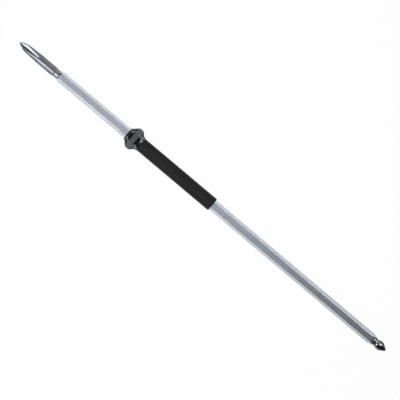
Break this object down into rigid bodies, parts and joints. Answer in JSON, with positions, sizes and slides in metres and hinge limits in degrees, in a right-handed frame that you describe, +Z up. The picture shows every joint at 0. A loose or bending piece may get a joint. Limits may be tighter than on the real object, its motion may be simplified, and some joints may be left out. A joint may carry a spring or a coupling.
{
  "type": "double-ended screwdriver",
  "caption": "Straight screwdriver with a cross point at each end of a hexagonal bar and a black grip sleeve whose hexagonal nut clamps it anywhere along the bar.",
  "frame": {"origin": "on the tool's axis, halfway between the two noses, which is the centre of its box", "axes": "+X along the tool from the long cross point to the necked one, +Z up, out of a flat of the bar and of the nut"},
  "size_m": [0.3, 0.015, 0.013],
  "materials": {
    "bar": "satin chrome",
    "tips": "darkened, ground",
    "liner": "turned",
    "grip": "satin black",
    "nut": "blackened steel",
    "clamp_ring": "turned",
    "seal": "matte"
  },
  "bodies": {
    "blade": {"hex_bar": "bar", "long_cross_tip": "tips", "necked_cross_tip": "tips"},
    "sleeve": {"liner_tube": "liner", "grip_sleeve": "grip", "wiper_washer": "seal", "nut_o_ring": "seal"},
    "clamp": {"clamp_ring": "clamp_ring"},
    "nut": {"lock_nut": "nut"}
  },
  "joints": [
    {"name": "sleeve_slide", "type": "slide", "parent": "blade", "child": "sleeve", "axis": [1, 0, 0], "range_m": [-0.054, 0.13]},
    {"name": "nut_advance", "type": "slide", "parent": "sleeve", "child": "clamp", "axis": [-1, 0, 0], "range_m": [0, 0.0015]},
    {"name": "nut_turn", "type": "hinge", "parent": "clamp", "child": "nut", "pos_m": [-0.0562, 0, 0], "axis": [-1, 0, 0], "range_deg": [0, 720]}
  ],
  "couplings": [
    {"joint": "nut_turn", "follows": "nut_advance", "rad_per_m": 8377.6}
  ]
}
